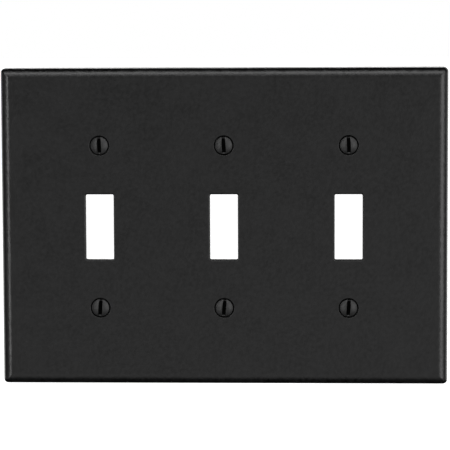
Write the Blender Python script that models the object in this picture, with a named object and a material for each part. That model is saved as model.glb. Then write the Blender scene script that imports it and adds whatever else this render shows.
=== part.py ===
"""Three-gang toggle wall plate with six captive oval-head screws.

The plate stands upright as on a wall: X runs to the right, Z up, and the face looks along -Y. The origin is
the middle of the plate in the wall plane, so the back rim lies at Y = 0. Heights below are distances from the
wall plane towards the room, which is Y = -height.
"""

import math

import bmesh
import bpy

# Plate outline and section, in metres.
PLATE_WIDTH = 0.1659
PLATE_HEIGHT = 0.1178
PLATE_DEPTH = 0.0056
OUTLINE_RADIUS = 0.0020
FACE_THICKNESS = 0.0023
WALL_THICKNESS = 0.0020
INNER_DRAFT = 0.0002

# Border of the face: a drafted side wall, a tight shoulder and a broad crown that runs into the flat.
SIDE_DRAFT = math.radians(5)
SHOULDER_RADIUS = 0.00175
CROWN_RADIUS = 0.0062
CROWN_SLOPE = math.radians(28)

# Standard layout of the devices behind the plate.
GANG_PITCH = 0.04604
SCREW_SPACING = 0.060325
COLUMNS = {"left": -GANG_PITCH, "middle": 0.0, "right": GANG_PITCH}
ROWS = {"upper": SCREW_SPACING / 2, "lower": -SCREW_SPACING / 2}

# Toggle openings.
OPENING_WIDTH = 0.0101
OPENING_HEIGHT = 0.0241
OPENING_RADIUS = 0.0004

# Stiffening behind the face. Each height is where the feature ends, measured from the wall plane.
RIB_THICKNESS = 0.0012
RIB_HEIGHT = 0.0016
BOSS_RADIUS = 0.0048
BOSS_HEIGHT = 0.0028

# Countersunk screw holes and the 6-32 oval-head screws in them.
CONE_HALF_ANGLE = math.radians(41)
MOUTH_RADIUS = 0.00375
HOLE_RADIUS = 0.0021
HEAD_RADIUS = 0.0032
HEAD_EDGE_HEIGHT = 0.0055
HEAD_LAND = 0.00008
DOME_RISE = 0.00078
SHANK_RADIUS = 0.00175
SCREW_LENGTH = 0.0127
TIP_CHAMFER = 0.0004
SLOT_WIDTH = 0.0014
SLOT_DEPTH = 0.00125

# How far each slot is turned clockwise from upright, seen from the room.
SLOT_ANGLES = {
    "upper_left": math.radians(-2),
    "upper_middle": math.radians(-3),
    "upper_right": math.radians(-2.5),
    "lower_left": math.radians(4),
    "lower_middle": math.radians(4.5),
    "lower_right": math.radians(4),
}

# Retaining washers pushed onto the threads behind the plate.
RETAINER_HOLE_RADIUS = 0.00205
RETAINER_RADIUS = 0.0036
RETAINER_BACK_HEIGHT = 0.0004
RETAINER_THICKNESS = 0.0006

CORNER_STEPS = 4
SHOULDER_STEPS = 4
CROWN_STEPS = 4
TURNED_STEPS = 24
DOME_STEPS = 4
OVERLAP = 0.0005  # how far a feature reaches into the shape that it is joined to
CLEAR = 0.0015  # how far a cutter reaches past the shape that it cuts
SHARP_ANGLE = math.radians(30)

MATERIALS = {
    "plate": {"colour": (0.020, 0.020, 0.021, 1), "roughness": 0.5, "metallic": 0.0},
    "screw": {"colour": (0.035, 0.035, 0.036, 1), "roughness": 0.4, "metallic": 0.0},
    "retainer": {"colour": (0.72, 0.71, 0.66, 1), "roughness": 0.45, "metallic": 0.0},
}


def clear_scene():
    for obj in list(bpy.data.objects):
        bpy.data.objects.remove(obj, do_unlink=True)


def make_material(name):
    look = MATERIALS[name]
    material = bpy.data.materials.new(name)
    material.use_nodes = True
    shader = material.node_tree.nodes["Principled BSDF"]
    shader.inputs["Base Color"].default_value = look["colour"]
    shader.inputs["Roughness"].default_value = look["roughness"]
    shader.inputs["Metallic"].default_value = look["metallic"]
    material.diffuse_color = look["colour"]
    return material


def add_object(name, mesh):
    obj = bpy.data.objects.new(name, mesh)
    bpy.context.scene.collection.objects.link(obj)
    return obj


def mesh_from(bm, name):
    bmesh.ops.recalc_face_normals(bm, faces=bm.faces)
    mesh = bpy.data.meshes.new(name)
    bm.to_mesh(mesh)
    bm.free()
    mesh.shade_smooth()
    mesh.set_sharp_from_angle(angle=SHARP_ANGLE)
    return mesh


def add_helper(name, mesh):
    """A shape that only joins or cuts another one."""
    helper = add_object(name, mesh)
    helper.hide_render = True
    helper.display_type = "WIRE"
    return helper


def add_boolean(obj, helper, operation):
    modifier = obj.modifiers.new(helper.name, "BOOLEAN")
    modifier.operation = operation
    modifier.solver = "EXACT"
    modifier.object = helper


def add_loop(bm, half_width, half_height, radius, height):
    """A rounded rectangle of vertices, anticlockwise seen from the room, at a height above the wall."""
    corners = ((1, 1, 0.0), (-1, 1, 0.5), (-1, -1, 1.0), (1, -1, 1.5))
    verts = []
    for side_x, side_z, turns in corners:
        centre_x = side_x * (half_width - radius)
        centre_z = side_z * (half_height - radius)
        for step in range(CORNER_STEPS + 1):
            angle = math.pi * (turns + 0.5 * step / CORNER_STEPS)
            x = centre_x + radius * math.cos(angle)
            z = centre_z + radius * math.sin(angle)
            verts.append(bm.verts.new((x, -height, z)))
    return verts


def join_loops(bm, first, second):
    count = len(first)
    for i in range(count):
        j = (i + 1) % count
        bm.faces.new((first[i], first[j], second[j], second[i]))


def arc(radius, start, end, steps):
    """An arc whose slope turns from start to end, as (inset, rise) from its beginning."""
    points = []
    for step in range(1, steps + 1):
        slope = start + (end - start) * step / steps
        inset = radius * (math.sin(start) - math.sin(slope))
        rise = radius * (math.cos(slope) - math.cos(start))
        points.append((inset, rise))
    return points


def border_profile():
    """Points (inset, height) of the plate's outer section, from the rim to the edge of the flat face."""
    shoulder = arc(SHOULDER_RADIUS, math.pi / 2 - SIDE_DRAFT, CROWN_SLOPE, SHOULDER_STEPS)
    crown = arc(CROWN_RADIUS, CROWN_SLOPE, 0.0, CROWN_STEPS)
    side_height = PLATE_DEPTH - shoulder[-1][1] - crown[-1][1]
    side_inset = side_height * math.tan(SIDE_DRAFT)
    points = [(0.0, 0.0), (side_inset, side_height)]
    for section in (shoulder, crown):
        start_inset, start_height = points[-1]
        points += [(start_inset + inset, start_height + rise) for inset, rise in section]
    return points


def shell_mesh():
    """The plate without its ribs and holes: a shallow tray whose open side faces the wall."""
    bm = bmesh.new()
    least_radius = 0.0001
    loops = []
    ceiling = PLATE_DEPTH - FACE_THICKNESS
    inner = [(WALL_THICKNESS + INNER_DRAFT, ceiling), (WALL_THICKNESS, 0.0)]
    for inset, height in inner + border_profile():
        radius = max(OUTLINE_RADIUS - inset, least_radius)
        loops.append(add_loop(bm, PLATE_WIDTH / 2 - inset, PLATE_HEIGHT / 2 - inset, radius, height))
    for first, second in zip(loops, loops[1:]):
        join_loops(bm, first, second)
    bm.faces.new(loops[0])
    bm.faces.new(loops[-1])
    return mesh_from(bm, "wall_plate")


def add_block(bm, low, high):
    """A box between two corners."""
    verts = bmesh.ops.create_cube(bm, size=1.0)["verts"]
    for vert in verts:
        vert.co = [(a + b) / 2 + t * (b - a) for a, b, t in zip(low, high, vert.co)]


def ribs_mesh():
    """One upright rib between each pair of neighbouring gangs."""
    bm = bmesh.new()
    top = PLATE_DEPTH - FACE_THICKNESS + OVERLAP
    half_length = PLATE_HEIGHT / 2 - WALL_THICKNESS + OVERLAP
    for x in (-GANG_PITCH / 2, GANG_PITCH / 2):
        low = (x - RIB_THICKNESS / 2, -top, -half_length)
        high = (x + RIB_THICKNESS / 2, -RIB_HEIGHT, half_length)
        add_block(bm, low, high)
    return mesh_from(bm, "ribs")


def openings_mesh():
    """Cutters of the toggle openings, reaching past both sides of the plate."""
    bm = bmesh.new()
    for x in COLUMNS.values():
        front = add_loop(bm, OPENING_WIDTH / 2, OPENING_HEIGHT / 2, OPENING_RADIUS, PLATE_DEPTH + CLEAR)
        back = add_loop(bm, OPENING_WIDTH / 2, OPENING_HEIGHT / 2, OPENING_RADIUS, -CLEAR)
        join_loops(bm, front, back)
        bm.faces.new(front)
        bm.faces.new(back)
        bmesh.ops.translate(bm, verts=front + back, vec=(x, 0, 0))
    return mesh_from(bm, "openings")


def turn(bm, profile, closed=False):
    """Spins a profile of (radius, height) points about the Y axis."""
    verts = [bm.verts.new((radius, -height, 0)) for radius, height in profile]
    edges = [bm.edges.new(pair) for pair in zip(verts, verts[1:])]
    if closed:
        edges.append(bm.edges.new((verts[-1], verts[0])))
    bmesh.ops.spin(
        bm,
        geom=verts + edges,
        cent=(0, 0, 0),
        axis=(0, 1, 0),
        angle=2 * math.pi,
        steps=TURNED_STEPS,
        use_merge=True,
    )
    bmesh.ops.remove_doubles(bm, verts=bm.verts, dist=1e-7)


def copies_at_screws(mesh, name):
    """One mesh holding a copy of another at each screw position."""
    bm = bmesh.new()
    for x in COLUMNS.values():
        for z in ROWS.values():
            known = set(bm.verts)
            bm.from_mesh(mesh)
            new = [vert for vert in bm.verts if vert not in known]
            bmesh.ops.translate(bm, verts=new, vec=(x, 0, z))
    return mesh_from(bm, name)


def boss_mesh():
    bm = bmesh.new()
    top = PLATE_DEPTH - FACE_THICKNESS + OVERLAP
    turn(bm, [(0, top), (BOSS_RADIUS, top), (BOSS_RADIUS, BOSS_HEIGHT), (0, BOSS_HEIGHT)])
    return mesh_from(bm, "boss")


def hole_mesh():
    """Cutter of a countersunk hole: a cone below the face, then a straight bore through the boss."""
    bm = bmesh.new()
    slope = math.tan(CONE_HALF_ANGLE)
    cone_end = PLATE_DEPTH - (MOUTH_RADIUS - HOLE_RADIUS) / slope
    profile = [
        (0, PLATE_DEPTH + CLEAR),
        (MOUTH_RADIUS + CLEAR * slope, PLATE_DEPTH + CLEAR),
        (HOLE_RADIUS, cone_end),
        (HOLE_RADIUS, BOSS_HEIGHT - CLEAR),
        (0, BOSS_HEIGHT - CLEAR),
    ]
    turn(bm, profile)
    return mesh_from(bm, "hole")


def make_plate():
    plate = add_object("wall_plate", shell_mesh())
    plate.data.materials.append(make_material("plate"))
    features = [
        ("ribs", ribs_mesh(), "UNION"),
        ("bosses", copies_at_screws(boss_mesh(), "bosses"), "UNION"),
        ("openings", openings_mesh(), "DIFFERENCE"),
        ("screw_holes", copies_at_screws(hole_mesh(), "screw_holes"), "DIFFERENCE"),
    ]
    for name, mesh, operation in features:
        add_boolean(plate, add_helper(name, mesh), operation)


def screw_profile():
    """Section of a screw from the middle of its dome to the middle of its tip."""
    dome_radius = (HEAD_RADIUS**2 + DOME_RISE**2) / (2 * DOME_RISE)
    dome_half_angle = math.asin(HEAD_RADIUS / dome_radius)
    centre = HEAD_EDGE_HEIGHT + DOME_RISE - dome_radius
    points = []
    for step in range(DOME_STEPS + 1):
        angle = dome_half_angle * step / DOME_STEPS
        points.append((dome_radius * math.sin(angle), centre + dome_radius * math.cos(angle)))
    cone_start = HEAD_EDGE_HEIGHT - HEAD_LAND
    cone_length = (HEAD_RADIUS - SHANK_RADIUS) / math.tan(CONE_HALF_ANGLE)
    tip = HEAD_EDGE_HEIGHT - SCREW_LENGTH
    points.append((HEAD_RADIUS, cone_start))
    points.append((SHANK_RADIUS, cone_start - cone_length))
    points.append((SHANK_RADIUS, tip + TIP_CHAMFER))
    points.append((SHANK_RADIUS - TIP_CHAMFER, tip))
    points.append((0, tip))
    return points


def screw_mesh():
    """A turned blank with its driving slot cut across the dome."""
    bm = bmesh.new()
    turn(bm, screw_profile())
    blank = add_object("screw_blank", mesh_from(bm, "screw_blank"))

    slot = bmesh.new()
    dome_top = HEAD_EDGE_HEIGHT + DOME_RISE
    reach = HEAD_RADIUS + CLEAR
    low = (-SLOT_WIDTH / 2, -dome_top - CLEAR, -reach)
    high = (SLOT_WIDTH / 2, -dome_top + SLOT_DEPTH, reach)
    add_block(slot, low, high)
    cutter = add_helper("screw_slot", mesh_from(slot, "screw_slot"))
    add_boolean(blank, cutter, "DIFFERENCE")

    bpy.context.view_layer.update()
    graph = bpy.context.evaluated_depsgraph_get()
    mesh = bpy.data.meshes.new_from_object(blank.evaluated_get(graph))
    mesh.name = "screw"
    bpy.data.objects.remove(blank, do_unlink=True)
    bpy.data.objects.remove(cutter, do_unlink=True)
    mesh.shade_smooth()
    mesh.set_sharp_from_angle(angle=SHARP_ANGLE)
    return mesh


def retainer_mesh():
    bm = bmesh.new()
    front = RETAINER_BACK_HEIGHT + RETAINER_THICKNESS
    section = [
        (RETAINER_HOLE_RADIUS, front),
        (RETAINER_RADIUS, front),
        (RETAINER_RADIUS, RETAINER_BACK_HEIGHT),
        (RETAINER_HOLE_RADIUS, RETAINER_BACK_HEIGHT),
    ]
    turn(bm, section, closed=True)
    return mesh_from(bm, "retainer")


def make_fasteners():
    """A screw and its retainer at each hole, each with its origin on the screw's axis in the wall plane."""
    screw = screw_mesh()
    screw.materials.append(make_material("screw"))
    retainer = retainer_mesh()
    retainer.materials.append(make_material("retainer"))
    for row, z in ROWS.items():
        for column, x in COLUMNS.items():
            place = f"{row}_{column}"
            turned = add_object(f"screw_{place}", screw)
            turned.location = (x, 0, z)
            turned.rotation_euler = (0, SLOT_ANGLES[place], 0)
            washer = add_object(f"retainer_{place}", retainer)
            washer.location = (x, 0, z)


clear_scene()
make_plate()
make_fasteners()
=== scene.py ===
"""Looks of a three-gang toggle wall plate with six captive oval-head screws.

The plate stands upright: X runs to the right, Z up, and the face looks along -Y. Sections are written as
(inset or radius, height), where height is the distance from the wall plane towards the room: Y = -height.
"""

import math

import bmesh
import bpy
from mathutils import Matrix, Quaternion, Vector


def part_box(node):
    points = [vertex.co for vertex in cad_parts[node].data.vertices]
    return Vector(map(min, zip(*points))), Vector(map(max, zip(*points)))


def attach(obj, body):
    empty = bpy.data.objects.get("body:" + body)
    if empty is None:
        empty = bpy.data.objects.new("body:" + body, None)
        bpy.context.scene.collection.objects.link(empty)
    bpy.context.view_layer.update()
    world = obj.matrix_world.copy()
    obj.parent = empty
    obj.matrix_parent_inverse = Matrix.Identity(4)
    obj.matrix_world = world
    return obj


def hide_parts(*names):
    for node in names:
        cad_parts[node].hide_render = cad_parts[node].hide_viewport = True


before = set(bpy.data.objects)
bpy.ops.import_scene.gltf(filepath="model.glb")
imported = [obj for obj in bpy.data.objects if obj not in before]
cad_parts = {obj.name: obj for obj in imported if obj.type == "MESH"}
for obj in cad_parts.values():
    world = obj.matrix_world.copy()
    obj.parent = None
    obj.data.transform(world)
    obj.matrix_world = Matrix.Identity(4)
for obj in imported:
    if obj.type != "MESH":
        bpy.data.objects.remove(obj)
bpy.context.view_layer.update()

MM = 0.001

# Measures of the CAD model that its boxes don't give, in metres.
FACE_THICKNESS = 2.3 * MM
WALL_THICKNESS = 2.0 * MM
INNER_DRAFT = 0.2 * MM
OUTLINE_RADIUS = 2.0 * MM
SIDE_DRAFT = math.radians(5)
OPENING_WIDTH = 10.1 * MM
OPENING_HEIGHT = 24.1 * MM
OPENING_RADIUS = 0.4 * MM
RIB_X = 23.02 * MM
RIB_THICKNESS = 1.2 * MM
RIB_HEIGHT = 1.6 * MM
BOSS_RADIUS = 4.8 * MM
BOSS_HEIGHT = 2.8 * MM
MOUTH_RADIUS = 3.75 * MM
HOLE_RADIUS = 2.1 * MM
CONE_HALF_ANGLE = math.radians(41)
HEAD_RADIUS = 3.2 * MM
HEAD_EDGE_HEIGHT = 5.5 * MM
DOME_RISE = 0.78 * MM
SLOT_WIDTH = 1.4 * MM
SLOT_DEPTH = 1.25 * MM
SLOT_TURNS = {
    "upper_left": -2,
    "upper_middle": -3,
    "upper_right": -2.5,
    "lower_left": 4,
    "lower_middle": 4.5,
    "lower_right": 4,
}

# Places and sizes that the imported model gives.
PLATE_LOW, PLATE_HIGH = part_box("wall_plate")
HALF_WIDTH = (PLATE_HIGH.x - PLATE_LOW.x) / 2
HALF_HEIGHT = (PLATE_HIGH.z - PLATE_LOW.z) / 2
DEPTH = -PLATE_LOW.y
CEILING = DEPTH - FACE_THICKNESS


def middle_of(node):
    low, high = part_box(node)
    return (low + high) / 2


PLACES = [f"{row}_{column}" for row in ("upper", "lower") for column in ("left", "middle", "right")]
SCREW_CENTRES = {place: middle_of(f"screw_{place}") for place in PLACES}
COLUMNS = [SCREW_CENTRES[f"upper_{column}"].x for column in ("left", "middle", "right")]

# Finer shape of the pieces.
SHOULDER_RADIUS = 1.75 * MM
CROWN_RADIUS = 6.2 * MM
CROWN_SLOPE = math.radians(28)
OPENING_EDGE = 0.8 * MM
MOUTH_EDGE = 0.3 * MM
SLOT_EDGE = 0.1 * MM
SLOT_TAPER = 0.35
SLOT_RISE = 0.70
SLOT_OVERRUN = 1.15
SLOT_RINGS = 48
# The part of the slot that gets painted shade: from this depth below the dome down to the floor, and this
# far along the slot.
SLOT_SHADE_REACH = 2.7 * MM
SLOT_SHADE_START = 0.10 * MM
SLOT_MARGIN = 0.06 * MM
THREAD_PITCH = 25.4 / 32 * MM
THREAD_RADIUS = 1.74 * MM
THREAD_DEPTH = 0.42 * MM
SCREW_TIP = -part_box("screw_upper_middle")[1].y
SCREW_STEPS = 64
WASHER_TONGUE_RADIUS = 1.80 * MM
WASHER_NOTCH_RADIUS = 2.30 * MM
WASHER_STEPS = 96

# Finish of the pieces.
PLASTIC_DARK = (0.0004, 0.0004, 0.0004)
PLASTIC_LIGHT = (0.0104, 0.0104, 0.0106)
PLASTIC_WORN = (0.016, 0.016, 0.0163)
PLASTIC_ROUGHNESS = 0.24
GRAIN_HEIGHT = 0.057 * MM
FINE_GRAIN_HEIGHT = 0.008 * MM
PAINT_DARK = (0.008, 0.008, 0.0081)
PAINT_LIGHT = (0.026, 0.026, 0.0262)
PAINT_WORN = (0.040, 0.039, 0.038)
PAINT_ROUGHNESS = 0.40
# Painted shade for the deep part of the slot: nearly black.
SLOT_SHADE_DARK = (0.0005, 0.0005, 0.0005)
SLOT_SHADE_LIGHT = (0.0015, 0.0015, 0.0015)
ZINC_COOL = (0.52, 0.53, 0.55)
ZINC_WARM = (0.62, 0.60, 0.54)
ZINC_DIRT = (0.33, 0.33, 0.33)
ZINC_BRIGHT = (0.75, 0.75, 0.76)
NYLON_WARM = (0.66, 0.64, 0.57)
NYLON_PALE = (0.76, 0.75, 0.70)
NYLON_WORN = (0.84, 0.83, 0.79)

# Studio: azimuth, elevation, width, height and radiance of each light.
FLOOR_HEIGHT = -0.26
SOFTBOXES = {
    "softbox_left": (-31.3, 5, 0.18, 1.2, 5.9),
    "softbox_right": (35.0, 5, 0.55, 1.2, 2.3),
    "softbox_top": (0, 42, 1.3, 0.34, 2.9),
    "fill_top": (0, 32, 1.3, 0.36, 1.0),
    "softbox_rear_left": (-140, 5, 0.8, 0.8, 2.0),
    "softbox_rear_right": (140, 5, 0.8, 0.8, 2.0),
}
WORLD_FRONT = 0.545
WORLD_WALLS = 3.0
WORLD_ROOM = 0.015
LIGHT_DISTANCE = 1.6
CAMERA_AZIMUTH = 2.435
CAMERA_ELEVATION = 5.008
CAMERA_DISTANCE = 0.8104
CAMERA_ROLL = math.radians(-0.219)
CAMERA_LENS = 174.15
CAMERA_SHIFT = (0.00097, 0.00156)

# Fineness of the meshes.
CORNER_STEPS = 14
ARC_STEPS = 6
OVERLAP = 0.5 * MM
SMOOTH_ANGLE = math.radians(38)


def rounded(points, radii, steps=ARC_STEPS):
    """An open outline whose corners are replaced by arcs of the given radii."""
    outline = []
    for i, radius in enumerate(radii):
        corner = Vector(points[i])
        if radius == 0:
            outline.append(tuple(corner))
            continue
        before = (Vector(points[i - 1]) - corner).normalized()
        after = (Vector(points[i + 1]) - corner).normalized()
        half = before.angle(after) / 2
        centre = corner + (before + after).normalized() * (radius / math.sin(half))
        start = corner + before * (radius / math.tan(half)) - centre
        sweep = math.pi - 2 * half
        if before.x * after.y - before.y * after.x > 0:
            sweep = -sweep
        for step in range(steps + 1):
            angle = sweep * step / steps
            x = start.x * math.cos(angle) - start.y * math.sin(angle)
            y = start.x * math.sin(angle) + start.y * math.cos(angle)
            outline.append((centre.x + x, centre.y + y))
    return outline


# Mesh helpers.


def new_object(name, bm):
    bmesh.ops.recalc_face_normals(bm, faces=bm.faces)
    mesh = bpy.data.meshes.new(name)
    bm.to_mesh(mesh)
    bm.free()
    obj = bpy.data.objects.new(name, mesh)
    bpy.context.scene.collection.objects.link(obj)
    return obj


def combine(obj, helper, operation):
    """Joins or cuts an object with a helper shape, which is used up."""
    modifier = obj.modifiers.new("combine", "BOOLEAN")
    modifier.operation = operation
    modifier.solver = "EXACT"
    modifier.object = helper
    bpy.context.view_layer.update()
    graph = bpy.context.evaluated_depsgraph_get()
    mesh = bpy.data.meshes.new_from_object(obj.evaluated_get(graph))
    obj.modifiers.remove(modifier)
    obj.data = mesh
    bpy.data.objects.remove(helper, do_unlink=True)


def add_loop(bm, half_width, half_height, radius, height):
    """A rounded rectangle of vertices at a height above the wall plane."""
    corners = ((1, 1, 0.0), (-1, 1, 0.5), (-1, -1, 1.0), (1, -1, 1.5))
    verts = []
    for side_x, side_z, turns in corners:
        for step in range(CORNER_STEPS + 1):
            angle = math.pi * (turns + 0.5 * step / CORNER_STEPS)
            x = side_x * (half_width - radius) + radius * math.cos(angle)
            z = side_z * (half_height - radius) + radius * math.sin(angle)
            verts.append(bm.verts.new((x, -height, z)))
    return verts


def join_loops(bm, loops, closed=False):
    pairs = list(zip(loops, loops[1:]))
    if closed:
        pairs.append((loops[-1], loops[0]))
    for first, second in pairs:
        count = len(first)
        for i in range(count):
            j = (i + 1) % count
            bm.faces.new((first[i], first[j], second[j], second[i]))


def add_tower(bm, half_width, half_height, radius, section, centre_x=0.0):
    """A closed stack of rounded rectangles that grow by each (offset, height) of a section."""
    loops = []
    for offset, height in section:
        corner = max(radius + offset, 0.1 * MM)
        loops.append(add_loop(bm, half_width + offset, half_height + offset, corner, height))
    join_loops(bm, loops)
    bm.faces.new(loops[0])
    bm.faces.new(loops[-1])
    for loop in loops:
        bmesh.ops.translate(bm, verts=loop, vec=(centre_x, 0, 0))


def add_turned(bm, section, centre, steps=64):
    """A closed body turned about an axis along Y, from a section that starts and ends on the axis."""
    rings = []
    for radius, height in section[1:-1]:
        ring = []
        for step in range(steps):
            angle = 2 * math.pi * step / steps
            x = centre.x + radius * math.cos(angle)
            z = centre.z + radius * math.sin(angle)
            ring.append(bm.verts.new((x, -height, z)))
        rings.append(ring)
    join_loops(bm, rings)
    for ring, height in ((rings[0], section[0][1]), (rings[-1], section[-1][1])):
        pole = bm.verts.new((centre.x, -height, centre.z))
        for i in range(steps):
            bm.faces.new((ring[i], ring[(i + 1) % steps], pole))


def shade(obj):
    """Smooth shading with crisp edges, in which the large flats keep their own normals."""
    obj.data.shade_smooth()
    obj.data.set_sharp_from_angle(angle=SMOOTH_ANGLE)
    weighted = obj.modifiers.new("weighted_normals", "WEIGHTED_NORMAL")
    weighted.mode = "FACE_AREA"
    weighted.weight = 80
    weighted.keep_sharp = True


# The moulded plate.


def arc_between(radius, start, end, steps):
    """An arc whose slope turns from start to end, as (inset, rise) from its beginning."""
    points = []
    for step in range(steps + 1):
        slope = start + (end - start) * step / steps
        inset = radius * (math.sin(start) - math.sin(slope))
        rise = radius * (math.cos(slope) - math.cos(start))
        points.append((inset, rise))
    return points


def border_arcs():
    """The face's border: a tight shoulder above the drafted side, then a broad crown into the flat."""
    shoulder = arc_between(SHOULDER_RADIUS, math.pi / 2 - SIDE_DRAFT, CROWN_SLOPE, 16)
    crown = arc_between(CROWN_RADIUS, CROWN_SLOPE, 0.0, 16)
    side_height = DEPTH - shoulder[-1][1] - crown[-1][1]
    side_inset = side_height * math.tan(SIDE_DRAFT)
    points = [(side_inset + inset, side_height + rise) for inset, rise in shoulder]
    start_inset, start_height = points[-1]
    points += [(start_inset + inset, start_height + rise) for inset, rise in crown[1:]]
    return points


def shell_section():
    """The plate's section from the flat ceiling inside, round the rim, to the flat of the face."""
    inner = WALL_THICKNESS + INNER_DRAFT
    border = border_arcs()
    points = [
        (inner + 3 * MM, CEILING),
        (inner, CEILING),
        (WALL_THICKNESS, 0.0),
        (0.0, 0.0),
        border[0],
    ]
    inside = rounded(points, [0, 0.4 * MM, 0.12 * MM, 0.15 * MM, 0])
    return inside + border[1:]


def make_shell():
    """A shallow tray, open towards the wall."""
    bm = bmesh.new()
    loops = []
    for inset, height in shell_section():
        radius = max(OUTLINE_RADIUS - inset, 0.15 * MM)
        loops.append(add_loop(bm, HALF_WIDTH - inset, HALF_HEIGHT - inset, radius, height))
    join_loops(bm, loops)
    bm.faces.new(loops[0])
    bm.faces.new(loops[-1])
    return new_object("plate_moulding", bm)


def rib_shapes():
    """One upright rib between each pair of gangs, filleted into the ceiling."""
    half = RIB_THICKNESS / 2
    draft = 0.08 * MM
    points = [
        (-half - 1 * MM, CEILING + OVERLAP),
        (-half - 1 * MM, CEILING + 0.05 * MM),
        (-half, CEILING),
        (-half + draft, RIB_HEIGHT),
        (half - draft, RIB_HEIGHT),
        (half, CEILING),
        (half + 1 * MM, CEILING + 0.05 * MM),
        (half + 1 * MM, CEILING + OVERLAP),
    ]
    section = rounded(points, [0, 0, 0.35 * MM, 0.25 * MM, 0.25 * MM, 0.35 * MM, 0, 0])
    end = HALF_HEIGHT - WALL_THICKNESS + OVERLAP
    bm = bmesh.new()
    for x in (-RIB_X, RIB_X):
        rings = []
        for z in (-end, end):
            rings.append([bm.verts.new((x + u, -height, z)) for u, height in section])
        join_loops(bm, rings)
        bm.faces.new(rings[0])
        bm.faces.new(rings[1])
    return new_object("ribs", bm)


def boss_shapes():
    points = [
        (0, CEILING + OVERLAP),
        (BOSS_RADIUS + 1 * MM, CEILING + OVERLAP),
        (BOSS_RADIUS + 1 * MM, CEILING + 0.05 * MM),
        (BOSS_RADIUS, CEILING),
        (BOSS_RADIUS - 0.04 * MM, BOSS_HEIGHT),
        (0, BOSS_HEIGHT),
    ]
    section = rounded(points, [0, 0, 0, 0.2 * MM, 0.15 * MM, 0])
    bm = bmesh.new()
    for centre in SCREW_CENTRES.values():
        add_turned(bm, section, centre)
    return new_object("bosses", bm)


def opening_cutters():
    """Toggle openings whose edges are rounded: softly on the face, slightly behind it."""
    rise = 0.06 * MM
    reach = 1.6 * MM
    points = [
        (reach, CEILING - OVERLAP),
        (reach, CEILING - rise),
        (0, CEILING),
        (0, DEPTH),
        (reach, DEPTH + rise),
        (reach, DEPTH + OVERLAP),
    ]
    section = rounded(points, [0, 0, 0.2 * MM, OPENING_EDGE, 0, 0], steps=10)
    bm = bmesh.new()
    for column in COLUMNS:
        add_tower(bm, OPENING_WIDTH / 2, OPENING_HEIGHT / 2, OPENING_RADIUS, section, column)
    return new_object("openings", bm)


def hole_cutters():
    """Countersunk holes with a rounded mouth and a small chamfer where the bore leaves the boss."""
    cone_end = DEPTH - (MOUTH_RADIUS - HOLE_RADIUS) / math.tan(CONE_HALF_ANGLE)
    rise = 0.05 * MM
    points = [
        (0, BOSS_HEIGHT - OVERLAP),
        (HOLE_RADIUS + 1 * MM, BOSS_HEIGHT - OVERLAP),
        (HOLE_RADIUS + 1 * MM, BOSS_HEIGHT - rise),
        (HOLE_RADIUS, BOSS_HEIGHT),
        (HOLE_RADIUS, cone_end),
        (MOUTH_RADIUS, DEPTH),
        (MOUTH_RADIUS + 1.5 * MM, DEPTH + rise),
        (MOUTH_RADIUS + 1.5 * MM, DEPTH + OVERLAP),
        (0, DEPTH + OVERLAP),
    ]
    section = rounded(points, [0, 0, 0, 0.1 * MM, 0.2 * MM, MOUTH_EDGE, 0, 0, 0])
    bm = bmesh.new()
    for centre in SCREW_CENTRES.values():
        add_turned(bm, section, centre)
    return new_object("screw_holes", bm)


def ejector_mark_cutters():
    """Shallow round marks that the mould's ejector pins leave on the ceiling."""
    points = [
        (0, CEILING - 1 * MM),
        (1.7 * MM, CEILING - 1 * MM),
        (1.6 * MM, CEILING + 0.07 * MM),
        (0, CEILING + 0.07 * MM),
    ]
    bm = bmesh.new()
    for x in (-69 * MM, -31 * MM, -12.5 * MM, 12.5 * MM, 31 * MM, 69 * MM):
        for z in (-47 * MM, 0.0, 47 * MM):
            add_turned(bm, points, Vector((x, 0, z)), steps=40)
    return new_object("ejector_marks", bm)


def make_plate():
    plate = make_shell()
    combine(plate, rib_shapes(), "UNION")
    combine(plate, boss_shapes(), "UNION")
    combine(plate, ejector_mark_cutters(), "DIFFERENCE")
    combine(plate, opening_cutters(), "DIFFERENCE")
    combine(plate, hole_cutters(), "DIFFERENCE")
    plate.data.materials.clear()
    plate.data.materials.append(moulded_plastic())
    shade(plate)
    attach(plate, "plate")
    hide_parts("wall_plate")


# The screws.


def dome_radius():
    return (HEAD_RADIUS**2 + DOME_RISE**2) / (2 * DOME_RISE)


def dome_section(steps=14):
    """Points from the middle of the dome to just inside the head's edge."""
    radius = dome_radius()
    centre = HEAD_EDGE_HEIGHT + DOME_RISE - radius
    last = math.asin((HEAD_RADIUS - 0.1 * MM) / radius)
    points = []
    for step in range(steps + 1):
        angle = last * step / steps
        points.append((radius * math.sin(angle), centre + radius * math.cos(angle)))
    return points


def head_section():
    """The oval head, from the middle of its dome to where the thread starts below its cone."""
    cone_start = HEAD_EDGE_HEIGHT - 0.12 * MM
    cone_length = (HEAD_RADIUS - THREAD_RADIUS) / math.tan(CONE_HALF_ANGLE)
    neck = cone_start - cone_length
    edge = [
        dome_section()[-1],
        (HEAD_RADIUS, HEAD_EDGE_HEIGHT),
        (HEAD_RADIUS, cone_start),
        (THREAD_RADIUS, neck),
        (THREAD_RADIUS, neck - 0.5 * MM),
    ]
    corners = rounded(edge, [0, 0.05 * MM, 0.04 * MM, 0.35 * MM, 0], steps=5)
    return dome_section()[:-1] + corners


def thread_radius_at(angle, height, start, tip):
    """Radius of a right-handed 6-32 thread, which runs out under the head and is chamfered at the tip."""
    turn = (height / THREAD_PITCH - angle / (2 * math.pi)) % 1.0
    from_crest = abs(turn - 0.5) * 2
    flank = min(max((0.80 - from_crest) / (0.80 - 0.14), 0.0), 1.0)
    depth = THREAD_DEPTH * (1 - flank)
    runout = min(max((start - height) / (0.9 * MM), 0.0), 1.0)
    radius = THREAD_RADIUS - depth * runout
    chamfer = THREAD_RADIUS - THREAD_DEPTH * 1.1 + (height - tip) * 1.2
    return min(radius, chamfer)


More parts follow.
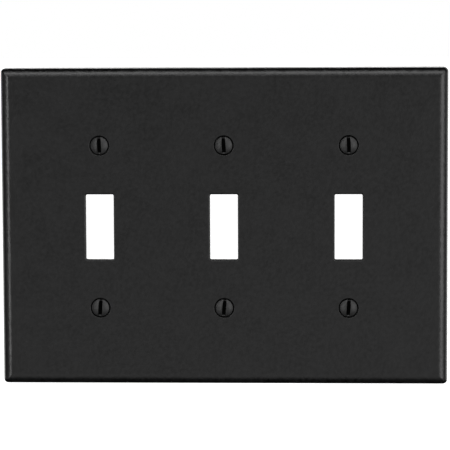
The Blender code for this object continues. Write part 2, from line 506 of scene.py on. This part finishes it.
def screw_blank():
    """The whole screw on the Y axis as one skin: head, neck, thread and flat tip."""
    head = head_section()
    start = head[-1][1]
    rows = math.ceil((start - SCREW_TIP) / (THREAD_PITCH / 18))
    rings = []
    bm = bmesh.new()

    def add_ring(radius_at, height):
        ring = []
        for step in range(SCREW_STEPS):
            angle = 2 * math.pi * step / SCREW_STEPS
            radius = radius_at(angle)
            ring.append(bm.verts.new((radius * math.cos(angle), -height, radius * math.sin(angle))))
        rings.append(ring)

    for radius, height in head[1:]:
        add_ring(lambda angle, r=radius: r, height)
    for row in range(1, rows + 1):
        height = start + (SCREW_TIP - start) * row / rows
        add_ring(lambda angle, h=height: thread_radius_at(angle, h, start, SCREW_TIP), height)
    join_loops(bm, rings)
    for ring, height in ((rings[0], head[0][1]), (rings[-1], SCREW_TIP)):
        pole = bm.verts.new((0, -height, 0))
        for i in range(SCREW_STEPS):
            bm.faces.new((ring[i], ring[(i + 1) % SCREW_STEPS], pole))
    return new_object("screw", bm)


def slot_cutter():
    """The driving slot as a loft along the dome, narrower and shallower towards both ends."""
    reach = math.asin(HEAD_RADIUS / dome_radius())
    centre = HEAD_EDGE_HEIGHT + DOME_RISE - dome_radius()
    bm = bmesh.new()
    rings = []
    for step in range(SLOT_RINGS + 1):
        angle = reach * SLOT_OVERRUN * (2 * step / SLOT_RINGS - 1)
        end = min(abs(angle) / reach, 1.0) ** 4
        half = SLOT_WIDTH / 2 * (1 - SLOT_TAPER * end)
        edge = math.sqrt(dome_radius() ** 2 - half**2)
        floor = edge - SLOT_DEPTH * (1 - SLOT_RISE * end)
        points = [
            (0, floor),
            (half, floor),
            (half, edge),
            (half + 0.6 * MM, edge + 0.01 * MM),
            (half + 0.6 * MM, edge + 0.6 * MM),
        ]
        side = rounded(points, [0, 0.12 * MM, SLOT_EDGE, 0, 0], steps=5)
        section = [(-x, rho) for x, rho in reversed(side[1:])] + side
        ring = []
        for x, rho in section:
            ring.append(bm.verts.new((x, -centre - rho * math.cos(angle), rho * math.sin(angle))))
        rings.append(ring)
    join_loops(bm, rings)
    bm.faces.new(rings[0])
    bm.faces.new(rings[-1])
    return new_object("slot", bm)


def in_slot_shade(centre):
    """Whether a face centre of the screw lies in the deep part of the slot, which gets painted shade where
    no light reaches.
    """
    dome_centre = HEAD_EDGE_HEIGHT + DOME_RISE - dome_radius()
    below_dome = dome_radius() - math.hypot(centre.z, -centre.y - dome_centre)
    deep = SLOT_SHADE_START < below_dome < SLOT_DEPTH + SLOT_MARGIN
    return deep and abs(centre.x) < SLOT_WIDTH / 2 + 0.01 * MM and abs(centre.z) < SLOT_SHADE_REACH


def screw_mesh():
    screw = screw_blank()
    combine(screw, slot_cutter(), "DIFFERENCE")
    mesh = screw.data
    bpy.data.objects.remove(screw, do_unlink=True)
    mesh.materials.clear()
    mesh.materials.append(head_paint())
    mesh.materials.append(zinc_plating())
    mesh.materials.append(painted_slot_shade())
    paint_line = HEAD_EDGE_HEIGHT - 0.45 * MM
    for polygon in mesh.polygons:
        # Faces deep in the slot get the nearly black painted shade.
        if in_slot_shade(polygon.center):
            polygon.material_index = 2
        elif -polygon.center.y < paint_line:
            polygon.material_index = 1
    return mesh


def place_copy(mesh, name, centre, turn):
    """A copy of a mesh turned about Y and moved to a screw's place, with its origin left at zero."""
    bm = bmesh.new()
    bm.from_mesh(mesh)
    for vert in bm.verts:
        x, y, z = vert.co
        vert.co = (
            centre.x + x * math.cos(turn) + z * math.sin(turn),
            y,
            centre.z - x * math.sin(turn) + z * math.cos(turn),
        )
    copy = bpy.data.meshes.new(name)
    bm.to_mesh(copy)
    bm.free()
    for material in mesh.materials:
        copy.materials.append(material)
    obj = bpy.data.objects.new(name, copy)
    bpy.context.scene.collection.objects.link(obj)
    return obj


def make_screws():
    mesh = screw_mesh()
    for place, centre in SCREW_CENTRES.items():
        screw = place_copy(mesh, f"oval_screw_{place}", centre, math.radians(SLOT_TURNS[place]))
        shade(screw)
        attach(screw, f"screw_{place}")
        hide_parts(f"screw_{place}")
    bpy.data.meshes.remove(mesh)


# The retaining washers.


def washer_bore(angle):
    """Radius of the washer's hole: four tongues that reach the thread, with relief notches between them."""
    wave = math.cos(4 * angle)
    blend = min(max((wave + 0.25) / 0.5, 0.0), 1.0)
    blend = blend * blend * (3 - 2 * blend)
    return WASHER_NOTCH_RADIUS + (WASHER_TONGUE_RADIUS - WASHER_NOTCH_RADIUS) * blend


def washer_mesh():
    low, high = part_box("retainer_upper_middle")
    front = -low.y
    back = -high.y
    outer = (high.x - low.x) / 2
    rings = []
    bm = bmesh.new()
    for step in range(WASHER_STEPS):
        angle = 2 * math.pi * step / WASHER_STEPS
        inner = washer_bore(angle)
        tongue = (WASHER_NOTCH_RADIUS - inner) / (WASHER_NOTCH_RADIUS - WASHER_TONGUE_RADIUS)
        thin = 0.12 * MM * tongue
        middle = (inner + outer) / 2
        points = [
            (middle, front),
            (outer, front),
            (outer, back),
            (inner, back + thin),
            (inner, front - thin),
            (middle, front),
        ]
        section = rounded(points, [0, 0.14 * MM, 0.14 * MM, 0.08 * MM, 0.08 * MM, 0], steps=4)[:-1]
        ring = []
        for radius, height in section:
            ring.append(bm.verts.new((radius * math.cos(angle), -height, radius * math.sin(angle))))
        rings.append(ring)
    join_loops(bm, rings, closed=True)
    washer = new_object("washer", bm)
    mesh = washer.data
    bpy.data.objects.remove(washer, do_unlink=True)
    mesh.materials.append(nylon())
    return mesh


def make_washers():
    mesh = washer_mesh()
    for index, (place, centre) in enumerate(SCREW_CENTRES.items()):
        turn = math.radians(17 + 31 * index)
        washer = place_copy(mesh, f"retaining_washer_{place}", centre, turn)
        shade(washer)
        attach(washer, f"retainer_{place}")
        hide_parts(f"retainer_{place}")
    bpy.data.meshes.remove(mesh)


# Materials.


def calculate(tree, operation, first, second):
    """A maths node on two numbers or outputs."""
    node = tree.nodes.new("ShaderNodeMath")
    node.operation = operation
    for socket, value in zip(node.inputs, (first, second)):
        if isinstance(value, (int, float)):
            socket.default_value = value
        else:
            tree.links.new(value, socket)
    return node.outputs["Value"]


class Shading:
    """A Principled material under construction, textured by the object's own coordinates."""

    def __init__(self, name, roughness, metallic=0.0):
        self.material = bpy.data.materials.new(name)
        self.material.use_nodes = True
        self.tree = self.material.node_tree
        self.shader = self.tree.nodes["Principled BSDF"]
        self.shader.inputs["Roughness"].default_value = roughness
        self.shader.inputs["Metallic"].default_value = metallic
        self.coordinates = self.tree.nodes.new("ShaderNodeTexCoord").outputs["Object"]

    def add(self, kind, **settings):
        node = self.tree.nodes.new(kind)
        for key, value in settings.items():
            setattr(node, key, value)
        return node

    def link(self, output, socket):
        self.tree.links.new(output, socket)

    def noise(self, size, detail=3.0, roughness=0.5):
        """Smooth noise whose features are about a given size across, from 0 to 1."""
        node = self.add("ShaderNodeTexNoise")
        node.inputs["Scale"].default_value = 1 / size
        node.inputs["Detail"].default_value = detail
        node.inputs["Roughness"].default_value = roughness
        self.link(self.coordinates, node.inputs["Vector"])
        return node.outputs["Fac"]

    def spread(self, value, low, high, to_low, to_high):
        """A value mapped from one range onto another."""
        node = self.add("ShaderNodeMapRange")
        node.inputs["From Min"].default_value = low
        node.inputs["From Max"].default_value = high
        node.inputs["To Min"].default_value = to_low
        node.inputs["To Max"].default_value = to_high
        self.link(value, node.inputs["Value"])
        return node.outputs["Result"]

    def calculate(self, operation, first, second):
        return calculate(self.tree, operation, first, second)

    def mix(self, factor, first, second):
        """Two colours mixed, each a colour or an output."""
        node = self.add("ShaderNodeMix", data_type="RGBA")
        self.link(factor, node.inputs["Factor"])
        for socket, value in ((node.inputs["A"], first), (node.inputs["B"], second)):
            self.set_colour(socket, value)
        return node.outputs["Result"]

    def set_colour(self, socket, value):
        if isinstance(value, tuple):
            socket.default_value = (*value, 1.0)
        else:
            self.link(value, socket)

    def edges(self, radius):
        """How strongly the surface turns within a radius: near 1 along edges and 0 on flats."""
        bevel = self.add("ShaderNodeBevel", samples=6)
        bevel.inputs["Radius"].default_value = radius
        true_normal = self.add("ShaderNodeNewGeometry").outputs["Normal"]
        dot = self.add("ShaderNodeVectorMath", operation="DOT_PRODUCT")
        self.link(bevel.outputs["Normal"], dot.inputs[0])
        self.link(true_normal, dot.inputs[1])
        return self.spread(dot.outputs["Value"], 0.995, 0.90, 0.0, 1.0)

    def bump(self, height, distance, strength=1.0, under=None):
        node = self.add("ShaderNodeBump")
        node.inputs["Distance"].default_value = distance
        node.inputs["Strength"].default_value = strength
        self.link(height, node.inputs["Height"])
        if under is not None:
            self.link(under, node.inputs["Normal"])
        return node.outputs["Normal"]

    def finish(self, colour, roughness, normal):
        self.link(colour, self.shader.inputs["Base Color"])
        self.link(roughness, self.shader.inputs["Roughness"])
        self.link(normal, self.shader.inputs["Normal"])
        return self.material


def moulded_plastic():
    """Black moulded plastic with a fine spark-eroded grain and slightly burnished edges."""
    look = Shading("black_moulded_plastic", PLASTIC_ROUGHNESS)
    grain = look.noise(1.3 * MM, detail=2.0, roughness=0.5)
    fine = look.noise(0.16 * MM, detail=2.0, roughness=0.6)
    cloud = look.noise(9 * MM, detail=3.0)
    worn = look.edges(0.35 * MM)

    speckle = look.spread(grain, 0.30, 0.70, 0.0, 1.0)
    base = look.mix(speckle, PLASTIC_DARK, PLASTIC_LIGHT)
    clouded = look.mix(look.spread(cloud, 0.35, 0.65, 0.0, 0.35), base, PLASTIC_LIGHT)
    colour = look.mix(look.calculate("MULTIPLY", worn, 0.5), clouded, PLASTIC_WORN)

    uneven = look.spread(cloud, 0.30, 0.70, PLASTIC_ROUGHNESS - 0.02, PLASTIC_ROUGHNESS + 0.02)
    grained = look.spread(fine, 0.30, 0.70, -0.03, 0.03)
    roughness = look.calculate("ADD", uneven, grained)
    roughness = look.calculate("SUBTRACT", roughness, look.calculate("MULTIPLY", worn, 0.04))

    normal = look.bump(grain, GRAIN_HEIGHT)
    normal = look.bump(fine, FINE_GRAIN_HEIGHT, under=normal)
    return look.finish(colour, roughness, normal)


def head_paint():
    """Black baked paint over the screw's head, with a faint orange peel and thin edges."""
    look = Shading("black_head_paint", PAINT_ROUGHNESS)
    peel = look.noise(0.7 * MM, detail=3.0)
    flecks = look.noise(0.12 * MM, detail=2.0)
    worn = look.edges(0.12 * MM)

    base = look.mix(look.spread(peel, 0.30, 0.70, 0.0, 1.0), PAINT_DARK, PAINT_LIGHT)
    scuffed = look.calculate("MULTIPLY", worn, look.spread(flecks, 0.42, 0.62, 0.0, 0.8))
    colour = look.mix(scuffed, base, PAINT_WORN)
    roughness = look.spread(peel, 0.30, 0.70, PAINT_ROUGHNESS - 0.03, PAINT_ROUGHNESS + 0.03)
    normal = look.bump(peel, 0.02 * MM, 0.5)
    normal = look.bump(flecks, 0.006 * MM, 0.5, under=normal)
    return look.finish(colour, roughness, normal)


def painted_slot_shade():
    """Painted shade inside the slot: a nearly black, dull material that stands in for the shade deep in the
    slot, with faint streaks.
    """
    look = Shading("slot_painted_shade", 0.6)
    look.shader.inputs["Specular IOR Level"].default_value = 0.02
    streak = look.noise(0.25 * MM, detail=3.0)
    colour = look.mix(look.spread(streak, 0.3, 0.7, 0.0, 1.0), SLOT_SHADE_DARK, SLOT_SHADE_LIGHT)
    roughness = look.spread(streak, 0.3, 0.7, 0.5, 0.7)
    normal = look.bump(streak, 0.01 * MM, 0.6)
    return look.finish(colour, roughness, normal)


def zinc_plating():
    """Zinc-plated steel of the thread: dull silver with a faint warm tint and dirt in scattered spots."""
    look = Shading("zinc_plating", 0.34, metallic=1.0)
    tint = look.noise(1.2 * MM, detail=3.0)
    spots = look.noise(0.2 * MM, detail=3.0)
    worn = look.edges(0.1 * MM)

    base = look.mix(look.spread(tint, 0.35, 0.65, 0.0, 1.0), ZINC_COOL, ZINC_WARM)
    dulled = look.mix(look.spread(spots, 0.52, 0.70, 0.0, 0.6), base, ZINC_DIRT)
    colour = look.mix(look.calculate("MULTIPLY", worn, 0.6), dulled, ZINC_BRIGHT)
    roughness = look.spread(spots, 0.30, 0.70, 0.26, 0.42)
    normal = look.bump(spots, 0.006 * MM, 0.6)
    return look.finish(colour, roughness, normal)


def nylon():
    """Natural nylon: milky and warm, soft-looking, with a faint moulding grain."""
    look = Shading("natural_nylon", 0.42)
    look.shader.inputs["Subsurface Weight"].default_value = 0.25
    look.shader.inputs["Subsurface Scale"].default_value = 0.6 * MM
    look.shader.inputs["Subsurface Radius"].default_value = (1.0, 0.9, 0.75)
    cloud = look.noise(1.5 * MM, detail=3.0)
    grain = look.noise(0.15 * MM, detail=2.0)
    worn = look.edges(0.12 * MM)

    base = look.mix(look.spread(cloud, 0.35, 0.65, 0.0, 1.0), NYLON_WARM, NYLON_PALE)
    colour = look.mix(look.calculate("MULTIPLY", worn, 0.5), base, NYLON_WORN)
    roughness = look.spread(grain, 0.30, 0.70, 0.38, 0.50)
    normal = look.bump(grain, 0.01 * MM, 0.5)
    return look.finish(colour, roughness, normal)


def floor_paint():
    """Pale studio floor, nearly white, with a barely visible unevenness."""
    look = Shading("studio_floor", 0.8)
    patch = look.noise(0.6, detail=2.0)
    colour = look.mix(patch, (0.90, 0.90, 0.90), (0.93, 0.93, 0.93))
    look.link(colour, look.shader.inputs["Base Color"])
    look.shader.inputs["Emission Color"].default_value = (1, 1, 1, 1)
    look.shader.inputs["Emission Strength"].default_value = 0.95
    return look.material


# The studio.


def make_floor():
    """A large pale floor well below the plate, which stays out of the plate's reflections."""
    bm = bmesh.new()
    half = 30.0
    corners = ((-half, -half), (half, -half), (half, half), (-half, half))
    bm.faces.new([bm.verts.new((x, y, FLOOR_HEIGHT)) for x, y in corners])
    floor = new_object("studio_floor", bm)
    floor.data.materials.append(floor_paint())
    floor.visible_glossy = False
    floor.visible_diffuse = False


def direction(azimuth, elevation):
    """Unit vector from the plate: azimuth 0 is straight out of the face and 90 is to its right."""
    a = math.radians(azimuth)
    e = math.radians(elevation)
    return Vector((math.sin(a) * math.cos(e), -math.cos(a) * math.cos(e), math.sin(e)))


def make_softbox(name, azimuth, elevation, width, height, radiance):
    """A rectangular light that faces the plate, with its brightness given as radiance."""
    light = bpy.data.lights.new(name, "AREA")
    light.shape = "RECTANGLE"
    light.size = width
    light.size_y = height
    light.energy = radiance * math.pi * width * height
    obj = bpy.data.objects.new(name, light)
    back = direction(azimuth, elevation)
    obj.location = back * LIGHT_DISTANCE
    obj.rotation_mode = "QUATERNION"
    obj.rotation_quaternion = back.to_track_quat("Z", "Y")
    obj.visible_camera = False
    bpy.context.scene.collection.objects.link(obj)


def make_lights():
    for name, (azimuth, elevation, width, height, radiance) in SOFTBOXES.items():
        make_softbox(name, azimuth, elevation, width, height, radiance)


def smooth_ramp(tree, value, low, high):
    """A soft step from 0 at low to 1 at high."""
    node = tree.nodes.new("ShaderNodeMapRange")
    node.interpolation_type = "SMOOTHSTEP"
    node.inputs["From Min"].default_value = low
    node.inputs["From Max"].default_value = high
    tree.links.new(value, node.inputs["Value"])
    return node.outputs[0]


def front_level(tree, x, y, z):
    """The dim room before the plate, brighter to the right and below, fading out at top and bottom."""
    slant = calculate(tree, "MULTIPLY", x, 1.3)
    slant = calculate(tree, "ADD", slant, calculate(tree, "MULTIPLY", z, -2.0))
    slant = calculate(tree, "MINIMUM", calculate(tree, "MAXIMUM", slant, -0.25), 0.35)
    level = calculate(tree, "ADD", slant, 1.0)
    level = calculate(tree, "MULTIPLY", smooth_ramp(tree, y, -0.35, -0.70), level)
    level = calculate(tree, "MULTIPLY", level, smooth_ramp(tree, z, -0.80, -0.48))
    return calculate(tree, "MULTIPLY", level, smooth_ramp(tree, z, 0.80, 0.65))


def wall_level(tree, y, z):
    """Pale walls beside and behind the plate, in a band at its own height."""
    band = smooth_ramp(tree, calculate(tree, "ABSOLUTE", z, 0.0), 0.35, 0.10)
    return calculate(tree, "MULTIPLY", smooth_ramp(tree, y, -0.35, -0.05), band)


def make_world():
    """White to the camera, and to the object a dim front, pale walls and a dark floor."""
    world = bpy.data.worlds.new("studio")
    world.use_nodes = True
    tree = world.node_tree
    nodes = tree.nodes
    nodes.clear()

    axes = nodes.new("ShaderNodeSeparateXYZ")
    tree.links.new(nodes.new("ShaderNodeTexCoord").outputs["Generated"], axes.inputs[0])
    x, y, z = axes.outputs
    level = calculate(tree, "MULTIPLY", front_level(tree, x, y, z), WORLD_FRONT)
    walls = calculate(tree, "MULTIPLY", wall_level(tree, y, z), WORLD_WALLS)
    level = calculate(tree, "ADD", calculate(tree, "ADD", level, walls), WORLD_ROOM)

    room = nodes.new("ShaderNodeBackground")
    tree.links.new(level, room.inputs["Strength"])
    white = nodes.new("ShaderNodeBackground")
    white.inputs["Color"].default_value = (1, 1, 1, 1)
    white.inputs["Strength"].default_value = 1.0
    mix = nodes.new("ShaderNodeMixShader")
    tree.links.new(nodes.new("ShaderNodeLightPath").outputs["Is Camera Ray"], mix.inputs[0])
    tree.links.new(room.outputs[0], mix.inputs[1])
    tree.links.new(white.outputs[0], mix.inputs[2])
    tree.links.new(mix.outputs[0], nodes.new("ShaderNodeOutputWorld").inputs["Surface"])
    bpy.context.scene.world = world


def make_camera():
    """A long lens nearly square to the plate, a little to the right of it and above."""
    camera = bpy.data.cameras.new("camera")
    camera.sensor_width = 36
    camera.lens = CAMERA_LENS
    camera.shift_x, camera.shift_y = CAMERA_SHIFT
    camera.clip_end = 100
    obj = bpy.data.objects.new("camera", camera)
    back = direction(CAMERA_AZIMUTH, CAMERA_ELEVATION)
    obj.location = back * CAMERA_DISTANCE
    obj.rotation_mode = "QUATERNION"
    obj.rotation_quaternion = back.to_track_quat("Z", "Y") @ Quaternion((0, 0, 1), CAMERA_ROLL)
    bpy.context.scene.collection.objects.link(obj)
    bpy.context.scene.camera = obj


make_plate()
make_screws()
make_washers()
make_floor()
make_lights()
make_world()
make_camera()
bpy.context.scene.view_settings.view_transform = "Standard"
